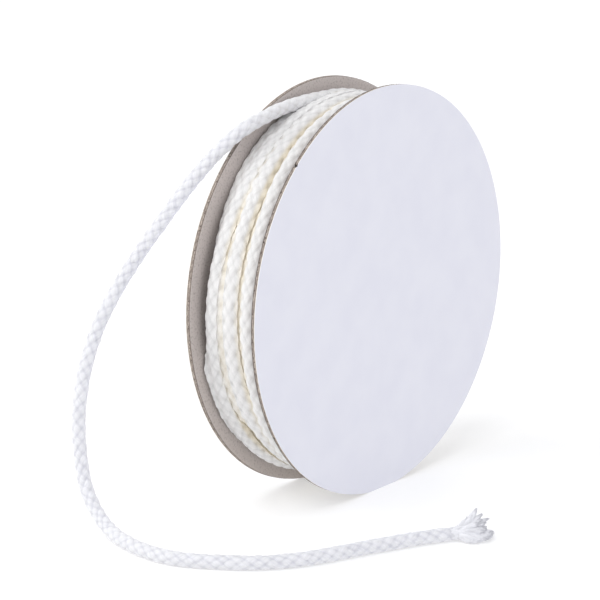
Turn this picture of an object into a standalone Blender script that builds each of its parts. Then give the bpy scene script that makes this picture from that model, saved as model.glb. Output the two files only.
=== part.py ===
"""A roll of white drawstring cord, wound on a reel of two board discs, its loose end laid out.

Metres, +Z up. The origin is on the floor under the middle of the reel. +X runs along the
reel's axis towards the right disc, and -Y is the side that the loose end leaves from.
The reel stands on a small flat spot of its two rims.
"""

from math import asin, cos, pi, radians, sin, sqrt, tau

import bmesh
import bpy
import numpy as np
from mathutils import Vector

MM = 0.001

# The reel: two lined board discs
DISC_RADIUS = 65.0 * MM
BOARD = 1.4 * MM
DISC_GAP = 23.8 * MM
FOOT_LENGTH = 14.0 * MM
RIM_EASING = 0.2 * MM
DISC_SIDES = 120
SHARP_EDGE = radians(60)
AXIS_HEIGHT = sqrt(DISC_RADIUS**2 - (FOOT_LENGTH / 2) ** 2)

# The cord, plaited and soft
CORD_DIAMETER = 4.5 * MM
CORD_RADIUS = CORD_DIAMETER / 2
SEAT_GAP = 0.3 * MM

# The wound cord under its outer turns
UNDER_RADIUS = 54.8 * MM
UNDER_PITCH = 4.75 * MM
UNDER_TURNS = 5
PACKED_RADIUS = 53.6 * MM
WOUND_HALF_WIDTH = DISC_GAP / 2 - SEAT_GAP
ACROSS_STEPS = 32
AROUND_STEPS = 112
LAST_TURN_FROM = 0.25

# The outer turns' centreline, followed back from where the loose end leaves the top.
# back: degrees wound back (90 is the back, 180 the bottom, 270 the front, 360 the top again).
# across: place between the discs. out: distance from the axis. Both in millimetres.
OUTER_TURNS = [
    {"back": 0, "across": -9.3, "out": 59.3},
    {"back": 90, "across": -9.3, "out": 59.3},
    {"back": 190, "across": -9.1, "out": 59.3},
    {"back": 278, "across": -7.1, "out": 59.3},
    {"back": 330, "across": -5.0, "out": 59.3},
    {"back": 360, "across": -4.4, "out": 59.3},
    {"back": 450, "across": -4.4, "out": 59.2},
    {"back": 540, "across": -5.0, "out": 58.4},
    {"back": 590, "across": -6.6, "out": 55.6},
    {"back": 638, "across": -9.2, "out": 55.0},
    {"back": 690, "across": -9.3, "out": 57.8},
    {"back": 720, "across": -7.7, "out": 54.7},
    {"back": 810, "across": -6.8, "out": 54.8},
    {"back": 855, "across": -3.8, "out": 55.4},
    {"back": 900, "across": -0.8, "out": 57.6},
    {"back": 998, "across": 0.2, "out": 59.3},
    {"back": 1050, "across": -0.5, "out": 59.2},
    {"back": 1170, "across": 0.4, "out": 59.1},
    {"back": 1260, "across": 2.8, "out": 59.1},
    {"back": 1358, "across": 6.3, "out": 59.3},
    {"back": 1410, "across": 4.9, "out": 59.1},
    {"back": 1530, "across": 6.0, "out": 58.8},
    {"back": 1620, "across": 8.4, "out": 57.6},
    {"back": 1718, "across": 9.4, "out": 55.4},
    {"back": 1800, "across": 9.5, "out": 54.8},
]

# The loose end's centreline in millimetres: off the top of the roll, over the left rim,
# down in an arch to the floor, past the front and along the right side.
LOOSE_ROUTE = [
    (-9.3, -0.4, 123.9),
    (-9.3, -12.5, 124.0),
    (-9.2, -24.0, 123.3),
    (-9.3, -33.0, 121.8),
    (-10.9, -40.3, 119.2),
    (-13.5, -44.9, 115.4),
    (-17.7, -50.6, 108.6),
    (-22.2, -55.1, 100.9),
    (-26.6, -59.1, 92.8),
    (-30.9, -63.0, 84.7),
    (-34.7, -67.0, 76.5),
    (-38.0, -70.9, 68.1),
    (-40.5, -74.4, 59.5),
    (-42.0, -77.5, 50.4),
    (-42.6, -80.1, 40.8),
    (-42.2, -82.0, 30.6),
    (-40.4, -83.4, 20.5),
    (-36.8, -85.1, 11.8),
    (-30.3, -87.4, 5.6),
    (-21.9, -90.9, 2.8),
    (-12.5, -94.7, 2.3),
    (-2.0, -97.2, 2.3),
    (9.5, -96.5, 2.3),
    (19.9, -91.7, 2.3),
    (29.0, -85.7, 2.3),
    (36.2, -78.0, 2.3),
    (41.6, -68.5, 2.3),
    (46.0, -57.7, 2.3),
    (50.9, -46.6, 2.3),
    (56.0, -36.0, 2.3),
    (61.2, -27.6, 2.3),
]
ROUTE_STEP = 2.2 * CORD_DIAMETER
ROUND_STEPS = 3

# The frayed end: locks of loosened yarn from one root
LOCKS_ACROSS = 5
ROOT_LENGTH = 1.2 * MM
LOCK_LENGTH = 10.0 * MM
LOCK_LENGTH_SPREAD = 0.22
LOCK_SECTIONS = 3
LOCK_INSET = 0.05 * MM
LOCK_TAPER = 0.72
LEAN_AT_ROOT = 0.6
LEAN_GAIN = 0.4
SPREAD_SIDE = 0.42
SPREAD_UP = 0.62
LOCK_SEED = 7

WHITE_CORD = (0.87, 0.87, 0.86, 1.0)
GREY_BOARD = (0.40, 0.35, 0.31, 1.0)
WHITE_LINER = (0.78, 0.79, 0.85, 1.0)


def material(name, colour, roughness):
    """A plain finish with its colour and roughness."""
    made = bpy.data.materials.new(name)
    made.use_nodes = True
    shader = made.node_tree.nodes["Principled BSDF"]
    shader.inputs["Base Color"].default_value = colour
    shader.inputs["Roughness"].default_value = roughness
    shader.inputs["Metallic"].default_value = 0.0
    return made


def add_object(name, data, finish):
    """A named object in the scene, with its one material."""
    data.materials.append(finish)
    made = bpy.data.objects.new(name, data)
    bpy.context.collection.objects.link(made)
    return made


def mesh_from(name, build):
    """A mesh built by a function on a bmesh, its faces turned outwards."""
    shape = bmesh.new()
    build(shape)
    bmesh.ops.recalc_face_normals(shape, faces=shape.faces)
    mesh = bpy.data.meshes.new(name)
    shape.to_mesh(mesh)
    shape.free()
    return mesh


def smooth_curve(places, values):
    """A natural cubic spline through values at places, as a function of place."""
    places = np.asarray(places, float)
    values = np.asarray(values, float).reshape(len(places), -1)
    span = np.diff(places)
    slope = np.diff(values, axis=0) / span[:, None]
    system = np.eye(len(places))
    target = np.zeros_like(values)
    for i in range(1, len(places) - 1):
        system[i, i - 1 : i + 2] = span[i - 1], 2 * (span[i - 1] + span[i]), span[i]
        target[i] = 6 * (slope[i] - slope[i - 1])
    bend = np.linalg.solve(system, target)

    def at(where):
        where = np.atleast_1d(np.asarray(where, float))
        i = np.clip(np.searchsorted(places, where) - 1, 0, len(span) - 1)
        left = (places[i + 1] - where)[:, None]
        right = (where - places[i])[:, None]
        width = span[i][:, None]
        ends = (values[i] * left + values[i + 1] * right) / width
        sag = bend[i] * (left**3 / width - left * width)
        sag = sag + bend[i + 1] * (right**3 / width - right * width)
        return ends + sag / 6

    return at


def disc(name, inner_x, outwards, finish):
    """One round board disc with a flat spot at its foot, its rim edges eased."""
    foot_angle = asin(FOOT_LENGTH / 2 / DISC_RADIUS)
    sweep = tau - 2 * foot_angle

    def build(shape):
        angles = [-pi / 2 + foot_angle + sweep * i / DISC_SIDES for i in range(DISC_SIDES + 1)]
        rim = [
            shape.verts.new((inner_x, DISC_RADIUS * cos(a), AXIS_HEIGHT + DISC_RADIUS * sin(a)))
            for a in angles
        ]
        face = shape.faces.new(rim)
        grown = bmesh.ops.extrude_face_region(shape, geom=[face])
        moved = [item for item in grown["geom"] if isinstance(item, bmesh.types.BMVert)]
        bmesh.ops.translate(shape, verts=moved, vec=Vector((outwards * BOARD, 0, 0)))

    board = add_object(name, mesh_from(name, build), finish)
    easing = board.modifiers.new("eased_rim", "BEVEL")
    easing.width = RIM_EASING
    easing.segments = 1
    easing.limit_method = "ANGLE"
    easing.angle_limit = SHARP_EDGE
    return board


def outer_turns_at(wound_back):
    """Each outer turn's place across and out, at an angle wound back from the top."""
    rows = OUTER_TURNS
    path = smooth_curve(
        [row["back"] for row in rows], [(row["across"] * MM, row["out"] * MM) for row in rows]
    )
    count = int((rows[-1]["back"] - wound_back) // 360) + 1
    return path(wound_back + 360 * np.arange(count))


def wound_profile(across, wound_back, last_turn):
    """The winding's radius at places across the reel, over the packed cord and each turn."""
    middle = (UNDER_TURNS - 1) / 2
    turns = [((i - middle) * UNDER_PITCH, UNDER_RADIUS) for i in range(UNDER_TURNS)]
    turns += [tuple(turn) for turn in outer_turns_at(wound_back if last_turn else wound_back + 360)]
    radius = np.full_like(across, PACKED_RADIUS)
    for place, out in turns:
        height = CORD_RADIUS**2 - (across - place) ** 2
        radius = np.maximum(radius, np.where(height > 0, out + np.sqrt(np.maximum(height, 0)), 0))
    return radius


def wound_cord(finish):
    """The wound roll between the discs, one solid with its turns raised in its surface.

    The last turn begins with a step at the top, where the loose end meets it.
    """
    across = np.linspace(-WOUND_HALF_WIDTH, WOUND_HALF_WIDTH, ACROSS_STEPS + 1)
    backs = [(LAST_TURN_FROM, True)]
    backs += [(360 * i / AROUND_STEPS, True) for i in range(1, AROUND_STEPS)]
    backs += [(0.0, False)]

    def build(shape):
        rings = []
        for back, last_turn in backs:
            angle = radians(90 + back)
            profile = wound_profile(across, back, last_turn)
            rings.append(
                [
                    shape.verts.new((x, -r * cos(angle), AXIS_HEIGHT + r * sin(angle)))
                    for x, r in zip(across, profile)
                ]
            )
        for ring, after in zip(rings, rings[1:] + rings[:1]):
            for i in range(ACROSS_STEPS):
                shape.faces.new((ring[i], ring[i + 1], after[i + 1], after[i]))
        for column, side in ((0, -1), (ACROSS_STEPS, 1)):
            hub = shape.verts.new((side * WOUND_HALF_WIDTH, 0, AXIS_HEIGHT))
            for ring, after in zip(rings, rings[1:] + rings[:1]):
                shape.faces.new((ring[column], after[column], hub))

    mesh = mesh_from("wound_cord", build)
    mesh.shade_smooth()
    mesh.set_sharp_from_angle(angle=SHARP_EDGE)
    return add_object("wound_cord", mesh, finish)


def loose_route():
    """The loose end's centreline as a function of the distance along it, and its length."""
    route = np.array(LOOSE_ROUTE) * MM
    along = np.concatenate([[0], np.cumsum(np.linalg.norm(np.diff(route, axis=0), axis=1))])
    return smooth_curve(along, route), along[-1]


def loose_end(finish):
    """The free cord, a round tube along its route."""
    route, length = loose_route()
    count = int(length / ROUTE_STEP) + 1
    points = route(np.linspace(0, length, count))
    curve = bpy.data.curves.new("loose_end", "CURVE")
    curve.dimensions = "3D"
    curve.bevel_depth = CORD_RADIUS
    curve.bevel_resolution = ROUND_STEPS
    curve.use_fill_caps = True
    spline = curve.splines.new("POLY")
    spline.points.add(count - 1)
    for place, point in zip(spline.points, points):
        place.co = (*point, 1.0)
    return add_object("loose_end", curve, finish)


def frayed_end(finish):
    """The frayed tip: locks of loosened yarn that stand apart from one round root."""
    route, length = loose_route()
    tip = Vector(route(length)[0])
    axis = (tip - Vector(route(length - CORD_RADIUS)[0])).normalized()
    side = axis.cross(Vector((0, 0, 1))).normalized()
    rise = side.cross(axis)
    start = tip + axis * SEAT_GAP
    random = np.random.default_rng(LOCK_SEED)
    root_radius = CORD_RADIUS - SEAT_GAP / 2
    ticks = np.linspace(-1, 1, LOCKS_ACROSS + 1)

    def on_disc(u, v):
        """A square's point moved into a round one."""
        return u * sqrt(1 - v * v / 2), v * sqrt(1 - u * u / 2)

    def build(shape):
        grid = {}
        for i, u in enumerate(ticks):
            for j, v in enumerate(ticks):
                a, b = on_disc(u, v)
                place = start + axis * ROOT_LENGTH + (side * a + rise * b) * root_radius
                grid[i, j] = shape.verts.new(place)
        cells = [
            shape.faces.new((grid[i, j], grid[i + 1, j], grid[i + 1, j + 1], grid[i, j + 1]))
            for i in range(LOCKS_ACROSS)
            for j in range(LOCKS_ACROSS)
        ]
        last = LOCKS_ACROSS
        rim = [grid[i, 0] for i in range(last)] + [grid[last, j] for j in range(last)]
        rim += [grid[i, last] for i in range(last, 0, -1)]
        rim += [grid[0, j] for j in range(last, 0, -1)]
        back = [shape.verts.new(v.co - axis * ROOT_LENGTH) for v in rim]
        for i in range(len(rim)):
            j = (i + 1) % len(rim)
            shape.faces.new((rim[i], rim[j], back[j], back[i]))
        shape.faces.new(back)
        bmesh.ops.inset_individual(shape, faces=cells, thickness=LOCK_INSET)
        for cell in cells:
            grow_lock(shape, cell)

    def grow_lock(shape, cell):
        """One tapered lock drawn out of a cell of the root, leaning away from the middle.

        The lower locks lie level, along the floor.
        """
        offset = cell.calc_center_median() - start
        a, b = offset.dot(side) / root_radius, offset.dot(rise) / root_radius
        lean = side * (a * SPREAD_SIDE) + rise * (max(b, 0.0) * SPREAD_UP)
        length_here = LOCK_LENGTH * (1 + LOCK_LENGTH_SPREAD * random.uniform(-1, 1))
        face = cell
        for section in range(LOCK_SECTIONS):
            grown = bmesh.ops.extrude_discrete_faces(shape, faces=[face])
            face = grown["faces"][0]
            share = LEAN_AT_ROOT + LEAN_GAIN * section
            step = (axis + lean * share).normalized() * (length_here / LOCK_SECTIONS)
            bmesh.ops.translate(shape, verts=face.verts, vec=step)
            middle = face.calc_center_median()
            for vert in face.verts:
                vert.co = middle + (vert.co - middle) * LOCK_TAPER

    return add_object("frayed_end", mesh_from("frayed_end", build), finish)


def main():
    """Clears the scene and builds the roll."""
    for old in list(bpy.data.objects):
        bpy.data.objects.remove(old)
    cord = material("white_cord", WHITE_CORD, 0.9)
    board = material("grey_board", GREY_BOARD, 0.85)
    liner = material("white_lined_board", WHITE_LINER, 0.6)
    disc("disc_left", -DISC_GAP / 2, -1, board)
    disc("disc_right", DISC_GAP / 2, 1, liner)
    wound_cord(cord)
    loose_end(cord)
    frayed_end(cord)


main()
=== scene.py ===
"""A roll of white drawstring cord on a reel of two board discs, dressed and lit for the render.

Metres, +Z up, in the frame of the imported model. +X runs along the reel's axis towards the
right disc, -Y is the side that the loose end leaves from, and the reel stands on the floor.
"""

import logging
from dataclasses import dataclass
from enum import Enum
from math import asin, cos, pi, radians, sin, sqrt, tau
from typing import Any, Callable, NamedTuple, Sequence

import bmesh
import bpy
import numpy as np
from mathutils import Matrix, Vector


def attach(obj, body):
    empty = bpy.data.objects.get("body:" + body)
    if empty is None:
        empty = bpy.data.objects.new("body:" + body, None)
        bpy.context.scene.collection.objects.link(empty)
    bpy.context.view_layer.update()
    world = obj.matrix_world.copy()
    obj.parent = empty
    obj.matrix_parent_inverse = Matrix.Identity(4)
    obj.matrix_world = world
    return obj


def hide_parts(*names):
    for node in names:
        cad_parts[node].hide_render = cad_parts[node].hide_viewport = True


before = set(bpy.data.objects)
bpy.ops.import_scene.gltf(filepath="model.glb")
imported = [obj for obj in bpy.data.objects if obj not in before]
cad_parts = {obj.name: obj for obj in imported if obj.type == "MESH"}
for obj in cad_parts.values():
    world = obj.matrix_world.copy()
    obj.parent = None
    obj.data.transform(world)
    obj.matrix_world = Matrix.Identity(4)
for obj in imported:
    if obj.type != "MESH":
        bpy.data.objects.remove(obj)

MM = 0.001
BODY = "root"
log = logging.getLogger("drawstring_roll")

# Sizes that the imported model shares, the same as its own
DISC_RADIUS = 65.0 * MM
BOARD = 1.4 * MM
DISC_GAP = 23.8 * MM
FOOT_LENGTH = 14.0 * MM
AXIS_HEIGHT = sqrt(DISC_RADIUS**2 - (FOOT_LENGTH / 2) ** 2)
CORD_RADIUS = 2.25 * MM
UNDER_PITCH = 4.75 * MM

# The loose end's centreline in millimetres: off the top of the roll, over the left rim,
# down in an arch to the floor, past the front and along the right side.
LOOSE_ROUTE = [
    (-9.3, -0.4, 123.9),
    (-9.3, -12.5, 124.0),
    (-9.2, -24.0, 123.3),
    (-9.3, -33.0, 121.8),
    (-10.9, -40.3, 119.2),
    (-13.5, -44.9, 115.4),
    (-17.7, -50.6, 108.6),
    (-22.2, -55.1, 100.9),
    (-26.6, -59.1, 92.8),
    (-30.9, -63.0, 84.7),
    (-34.7, -67.0, 76.5),
    (-38.0, -70.9, 68.1),
    (-40.5, -74.4, 59.5),
    (-42.0, -77.5, 50.4),
    (-42.6, -80.1, 40.8),
    (-42.2, -82.0, 30.6),
    (-40.4, -83.4, 20.5),
    (-36.8, -85.1, 11.8),
    (-30.3, -87.4, 5.6),
    (-21.9, -90.9, 2.8),
    (-12.5, -94.7, 2.3),
    (-2.0, -97.2, 2.3),
    (9.5, -96.5, 2.3),
    (19.9, -91.7, 2.3),
    (29.0, -85.7, 2.3),
    (36.2, -78.0, 2.3),
    (41.6, -68.5, 2.3),
    (46.0, -57.7, 2.3),
    (50.9, -46.6, 2.3),
    (56.0, -36.0, 2.3),
    (61.2, -27.6, 2.3),
]


class Pass(NamedTuple):
    """A place that the outer turns' centreline passes through.

    back is in degrees wound back from where the loose end leaves the top: 90 is the back, 180
    the bottom, 270 the front and 360 the top again. across is the place between the discs and
    out the distance from the axis, in millimetres.
    """

    back: float
    across: float
    out: float


OUTER_TURNS = [
    Pass(0, -9.3, 59.3),
    Pass(90, -9.3, 59.3),
    Pass(190, -9.1, 59.3),
    Pass(278, -7.1, 59.3),
    Pass(330, -5.0, 59.3),
    Pass(360, -4.4, 59.3),
    Pass(450, -4.4, 59.2),
    Pass(540, -5.0, 58.4),
    Pass(590, -6.6, 55.6),
    Pass(638, -9.2, 55.0),
    Pass(690, -9.3, 58.4),
    Pass(705, -8.8, 57.9),
    Pass(720, -7.7, 55.8),
    Pass(810, -6.8, 54.8),
    Pass(855, -3.8, 55.4),
    Pass(900, -0.8, 57.6),
    Pass(998, 0.0, 59.3),
    Pass(1050, -0.8, 59.2),
    Pass(1170, 0.4, 59.1),
    Pass(1260, 2.8, 59.1),
    Pass(1358, 6.5, 59.3),
    Pass(1410, 5.0, 59.1),
    Pass(1530, 6.0, 58.8),
    Pass(1620, 8.4, 57.6),
    Pass(1718, 9.4, 55.4),
    Pass(1800, 9.5, 54.8),
]


class Slot(Enum):
    """The material slots."""

    CORD = "cord"
    BOARD = "reel_board"


class Node(Enum):
    """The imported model's solids."""

    LEFT = "disc_left"
    RIGHT = "disc_right"
    WOUND = "wound_cord"
    LOOSE = "loose_end"
    FRAYED = "frayed_end"


# Shared tools


def linear(hex_colour: str) -> tuple[float, float, float, float]:
    """Turns an sRGB hex colour into the linear colour that a shader takes.

    Args:
        hex_colour: Six hex digits, with or without a leading #.

    Returns:
        Red, green, blue and a full alpha, linear.
    """
    digits = hex_colour.lstrip("#")
    parts = [int(digits[i : i + 2], 16) / 255 for i in (0, 2, 4)]
    flat = [c / 12.92 if c <= 0.04045 else ((c + 0.055) / 1.055) ** 2.4 for c in parts]
    return flat[0], flat[1], flat[2], 1.0


def add_node(
    tree: bpy.types.NodeTree,
    kind: str,
    sockets: dict[str | int, Any] | None = None,
    **settings: Any,
) -> bpy.types.Node:
    """Adds a shader node with its settings, values and links.

    Args:
        tree: The material's node tree.
        kind: The node's type name.
        sockets: A value, or another node's output socket, for each named or numbered input.
        **settings: Values for the node's own properties.

    Returns:
        The new node.
    """
    node = tree.nodes.new(kind)
    for name, value in settings.items():
        setattr(node, name, value)
    for name, value in (sockets or {}).items():
        if isinstance(value, bpy.types.NodeSocket):
            tree.links.new(value, node.inputs[name])
        else:
            node.inputs[name].default_value = value
    return node


def smooth_curve(
    places: Sequence[float], values: Sequence[Any]
) -> Callable[[Any], np.ndarray]:
    """A natural cubic spline through values at places.

    Args:
        places: Rising positions.
        values: One row of numbers for each position.

    Returns:
        A function that gives the rows at any positions.
    """
    places = np.asarray(places, float)
    values = np.asarray(values, float).reshape(len(places), -1)
    span = np.diff(places)
    slope = np.diff(values, axis=0) / span[:, None]
    system = np.eye(len(places))
    target = np.zeros_like(values)
    for i in range(1, len(places) - 1):
        system[i, i - 1 : i + 2] = span[i - 1], 2 * (span[i - 1] + span[i]), span[i]
        target[i] = 6 * (slope[i] - slope[i - 1])
    bend = np.linalg.solve(system, target)

    def at(where: Any) -> np.ndarray:
        """The spline's rows at these positions."""
        where = np.atleast_1d(np.asarray(where, float))
        i = np.clip(np.searchsorted(places, where) - 1, 0, len(span) - 1)
        left = (places[i + 1] - where)[:, None]
        right = (where - places[i])[:, None]
        width = span[i][:, None]
        ends = (values[i] * left + values[i + 1] * right) / width
        sag = bend[i] * (left**3 / width - left * width)
        sag = sag + bend[i + 1] * (right**3 / width - right * width)
        return ends + sag / 6

    return at


def unit(rows: np.ndarray) -> np.ndarray:
    """Each row at length one."""
    return rows / np.maximum(np.linalg.norm(rows, axis=-1, keepdims=True), 1e-12)


def smooth_step(share: Any) -> Any:
    """A share from 0 to 1, eased at both ends."""
    return share * share * (3 - 2 * share)


def distance_along(points: np.ndarray) -> np.ndarray:
    """How far along its line each point lies."""
    steps = np.linalg.norm(np.diff(points, axis=0), axis=1)
    return np.concatenate([[0.0], np.cumsum(steps)])


def drift(count: int, knots: int, seed: int) -> np.ndarray:
    """A smooth unevenness.

    Args:
        count: How many values to give.
        knots: How many random values the curve passes through.
        seed: The random seed.

    Returns:
        Values about zero, mostly within one either way.
    """
    through = np.random.default_rng(seed).normal(0, 0.5, max(knots, 4))
    curve = smooth_curve(np.linspace(0, 1, len(through)), through)
    return curve(np.linspace(0, 1, count))[:, 0]


def set_values(mesh: bpy.types.Mesh, name: str, values: np.ndarray) -> None:
    """Gives each of a mesh's points its value of a new attribute, for its finish to read."""
    attribute = mesh.attributes.new(name, "FLOAT", "POINT")
    attribute.data.foreach_set("value", values.reshape(-1).astype(np.float32))


def take_mesh(name: str, shape: bmesh.types.BMesh, sharp: float) -> bpy.types.Mesh:
    """Turns a finished bmesh into a smooth mesh, and frees it.

    Args:
        name: The mesh's name.
        shape: The bmesh.
        sharp: The angle in degrees from which its folds stay sharp.

    Returns:
        The mesh.
    """
    bmesh.ops.recalc_face_normals(shape, faces=shape.faces)
    mesh = bpy.data.meshes.new(name)
    shape.to_mesh(mesh)
    shape.free()
    mesh.shade_smooth()
    mesh.set_sharp_from_angle(angle=radians(sharp))
    return mesh


def place_object(name: str, data: bpy.types.ID) -> bpy.types.Object:
    """Puts new data in the scene as an object."""
    made = bpy.data.objects.new(name, data)
    bpy.context.collection.objects.link(made)
    return made


def add_piece(
    name: str,
    mesh: bpy.types.Mesh,
    finishes: Sequence[bpy.types.Material],
    nodes: Sequence[Node],
) -> bpy.types.Object:
    """Puts a dressed piece in the scene, riding on the roll.

    Args:
        name: The piece's name.
        mesh: Its final mesh.
        finishes: Its materials, in the order of its faces' material numbers.
        nodes: The solids that it stands for.

    Returns:
        The new object.
    """
    for finish in finishes:
        mesh.materials.append(finish)
    piece = place_object(name, mesh)
    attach(piece, BODY)
    for node in nodes:
        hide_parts(node.value)
    return piece


# Finishes


def start_material(
    name: str, constants: dict[str, Any]
) -> tuple[bpy.types.Material, bpy.types.NodeTree]:
    """Starts a material.

    Args:
        name: Its name.
        constants: What is the same all over the surface, set on the shader's own sockets.

    Returns:
        The material and its node tree.
    """
    made = bpy.data.materials.new(name)
    made.use_nodes = True
    shader = made.node_tree.nodes["Principled BSDF"]
    for socket, value in constants.items():
        shader.inputs[socket].default_value = value
    return made, made.node_tree


def lay_tint(
    tree: bpy.types.NodeTree,
    base: Any,
    pattern: bpy.types.NodeSocket,
    reach: tuple[float, float, float, float],
    tint: str,
    rises: str = "LINEAR",
) -> bpy.types.NodeSocket:
    """Lays a tint over a colour where a pattern calls for it.

    Args:
        tree: The material's node tree.
        base: The colour underneath, or its socket.
        pattern: The pattern's socket.
        reach: The pattern's values where the tint starts and ends, and its share at each.
        tint: The colour laid over, as sRGB hex.
        rises: How its share changes between the two.

    Returns:
        The new colour's socket.
    """
    ends = dict(enumerate((pattern, *reach)))
    share = add_node(tree, "ShaderNodeMapRange", ends, interpolation_type=rises)
    layers = {"Factor": share.outputs["Result"], 6: base, 7: linear(tint)}
    return add_node(tree, "ShaderNodeMix", layers, data_type="RGBA").outputs[2]


def dress_surface(
    tree: bpy.types.NodeTree,
    colour: bpy.types.NodeSocket,
    relief: tuple[bpy.types.NodeSocket, float, float],
    rough: tuple[bpy.types.NodeSocket, float, float, float, float] | None = None,
) -> None:
    """Gives a material's shader its colour, its fine relief and its uneven roughness.

    Args:
        tree: The material's node tree.
        colour: The colour's socket.
        relief: The relief's pattern, its strength and its depth.
        rough: The roughness's pattern, the range of it that counts, and the roughness at each end.
    """
    shader = tree.nodes["Principled BSDF"]
    tree.links.new(colour, shader.inputs["Base Color"])
    height, strength, depth = relief
    heights = {"Strength": strength, "Distance": depth, "Height": height}
    bump = add_node(tree, "ShaderNodeBump", heights)
    tree.links.new(bump.outputs["Normal"], shader.inputs["Normal"])
    if rough is not None:
        uneven = add_node(tree, "ShaderNodeMapRange", dict(enumerate(rough)))
        tree.links.new(uneven.outputs["Result"], shader.inputs["Roughness"])


@dataclass(frozen=True)
class TexturedPolyester:
    """Textured polyester yarn, plaited. Its crimped filaments give a matt, very soft white.

    wound and slack each hold the tint of the yarn's crown and the painted shade between the yarns,
    laid in the hollows.
    Where subsurface is above 0, light wanders through the loose filaments.
    """

    name: str
    wound: tuple[str, str]
    slack: tuple[str, str]
    subsurface: float
    sheen: float = 0.25
    strand_width: float = 0.55
    strand_length: float = 4.0
    filament_width: float = 0.22
    filament_length: float = 2.8
    clumps_per_mm: float = 0.9

    def material(self) -> bpy.types.Material:
        """Makes the yarn's material.

        Returns:
            A material that reads the yarn's map, in millimetres: x across a yarn, y along it.
            It also reads how deep the yarn lies and how far in a groove, for painted shade there,
            and how slack it is.
        """
        constants = {
            "IOR": 1.53,
            "Sheen Weight": self.sheen,
            "Sheen Roughness": 0.5,
            "Subsurface Weight": self.subsurface,
            # Light wanders about a millimetre through the loose white filaments
            "Subsurface Radius": (1.0, 1.0, 0.95),
            "Subsurface Scale": 1.2 * MM,
        }
        made, tree = start_material(self.name, constants)
        hollow, slack, groove = (
            add_node(tree, "ShaderNodeAttribute", attribute_name=name).outputs["Fac"]
            for name in ("hollow", "slack", "groove")
        )
        place = add_node(tree, "ShaderNodeUVMap", uv_map="yarn").outputs["UV"]
        # A filament is 0.02 mm thick, too fine to show, so it is drawn ten times coarser,
        # and the strands that filaments gather in are drawn 0.55 mm wide.
        # Clumps of crimp, about a millimetre long, catch the light unevenly.
        noises = []
        for across, along in (
            (1 / self.filament_width, 1 / self.filament_length),
            (1 / self.strand_width, 1 / self.strand_length),
            (self.clumps_per_mm, self.clumps_per_mm),
        ):
            scale = {"Vector": place, "Scale": (across, along, 1.0)}
            stretched = add_node(tree, "ShaderNodeMapping", scale).outputs["Vector"]
            sizes = {"Vector": stretched, "Scale": 1.0, "Detail": 2.0}
            noises.append(add_node(tree, "ShaderNodeTexNoise", sizes).outputs["Fac"])
        filaments, strands, clumps = noises
        # Painted shade: the deeper a point lies in a hollow, the more it takes the second tint
        tones = [
            lay_tint(tree, linear(crown), hollow, (0.15, 0.9, 0.0, 1.0), between, "SMOOTHSTEP")
            for crown, between in (self.wound, self.slack)
        ]
        layers = {"Factor": slack, 6: tones[0], 7: tones[1]}
        tone = add_node(tree, "ShaderNodeMix", layers, data_type="RGBA").outputs[2]
        streaks = add_node(tree, "ShaderNodeMath", {0: filaments, 1: strands}, operation="ADD")
        streaks = streaks.outputs["Value"]
        # The streaks vary the yarn's tone, and painted shade darkens the grooves between the
        # pulled cord's lobes
        shades = [
            add_node(tree, "ShaderNodeMapRange", dict(enumerate(row))).outputs["Result"]
            for row in ((streaks, 0.75, 1.2, 0.9, 1.0), (groove, 0.1, 0.9, 1.0, 0.82))
        ]
        both = add_node(tree, "ShaderNodeMath", dict(enumerate(shades)), operation="MULTIPLY")
        streaked = add_node(
            tree,
            "ShaderNodeMix",
            {"Factor": 1.0, 6: tone, 7: both.outputs["Value"]},
            data_type="RGBA",
            blend_type="MULTIPLY",
        ).outputs[2]
        dress_surface(tree, streaked, (streaks, 0.6, 0.16 * MM), (clumps, 0.3, 0.7, 0.62, 0.85))
        return made


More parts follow.
